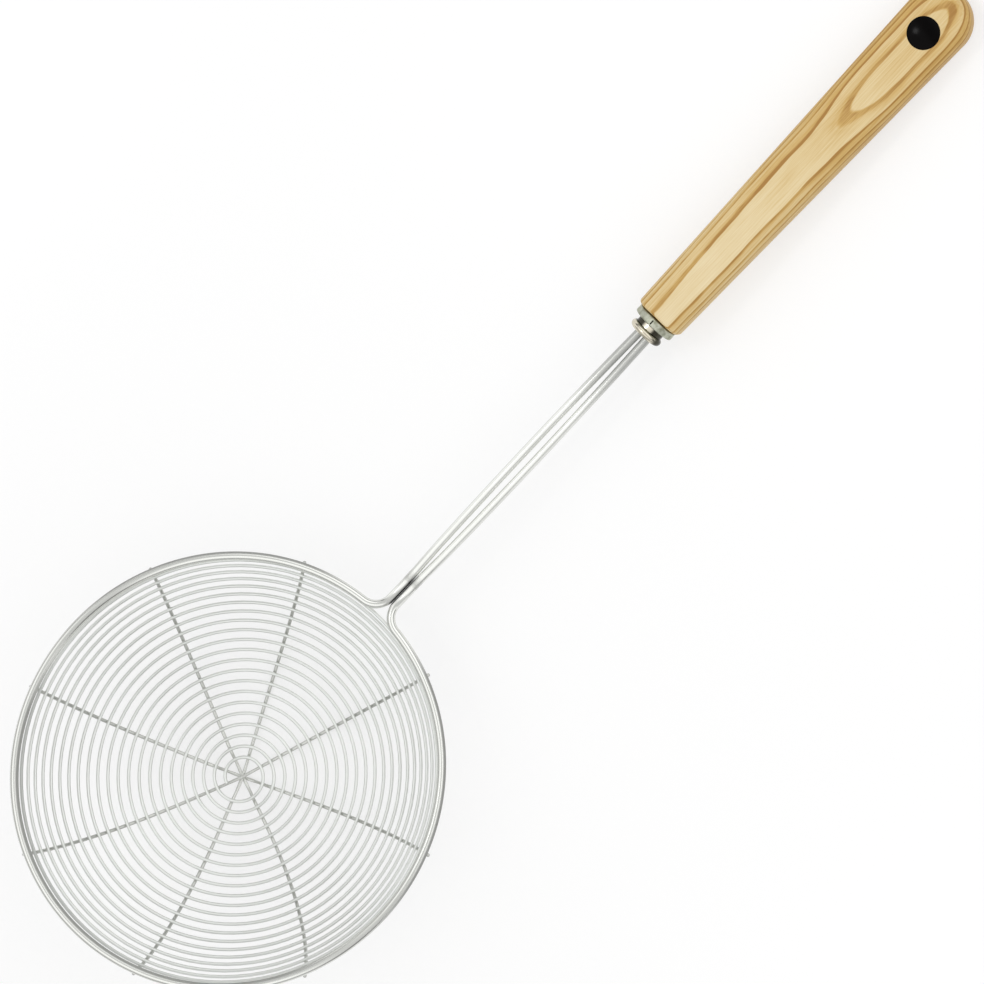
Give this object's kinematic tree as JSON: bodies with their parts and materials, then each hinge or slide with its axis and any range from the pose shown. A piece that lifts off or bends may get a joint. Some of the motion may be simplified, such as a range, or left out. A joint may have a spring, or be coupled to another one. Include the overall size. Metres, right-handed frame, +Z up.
{
  "type": "wire spider strainer",
  "caption": "Round spiral-wire basket in a wire hoop on a twin-wire shaft, with a ferrule and a flat wooden handle, for lifting food out of hot oil or water.",
  "frame": {"origin": "middle of the object's plan on the table it lies on, resting on the basket and the handle's tip", "axes": "+X along the object from the basket to the handle's tip, +Z up out of the basket's open side"},
  "size_m": [0.3596, 0.1226, 0.0533],
  "materials": {
    "frame_steel": "bright drawn stainless wire",
    "coil_steel": "bright drawn stainless wire",
    "spoke_steel": "bright drawn stainless wire",
    "ferrule_nickel": "nickel plated, satin",
    "handle_ash": "sanded ash, thin oil",
    "plug_black": "glossy"
  },
  "bodies": {
    "root": {"frame_wire": "frame_steel", "basket_coil": "coil_steel", "spoke_1": "spoke_steel", "spoke_2": "spoke_steel", "spoke_3": "spoke_steel", "spoke_4": "spoke_steel", "ferrule_collar": "ferrule_nickel", "ferrule_band": "ferrule_nickel", "handle": "handle_ash", "end_plug": "plug_black"}
  },
  "joints": []
}
